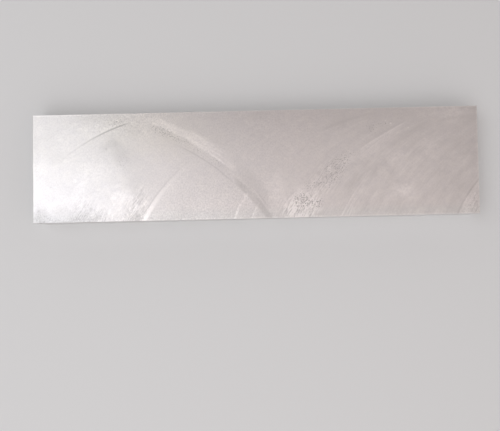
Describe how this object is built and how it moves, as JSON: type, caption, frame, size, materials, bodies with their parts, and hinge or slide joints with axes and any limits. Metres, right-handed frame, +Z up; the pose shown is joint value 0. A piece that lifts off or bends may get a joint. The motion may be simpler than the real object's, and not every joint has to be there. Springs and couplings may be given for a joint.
{
  "type": "aluminium plate",
  "caption": "Sawn flat aluminium plate, a plain rectangular piece of stock with circular saw marks on its broad face.",
  "frame": {"origin": "centre of the bottom face, which lies on the floor", "axes": "+X along the length, +Y across the width, +Z up through the thickness"},
  "size_m": [0.288, 0.07, 0.018],
  "materials": {
    "sawn_aluminium": "saw-cut, satin with bright streaks and circular saw marks"
  },
  "bodies": {
    "root": {"plate": "sawn_aluminium"}
  },
  "joints": []
}
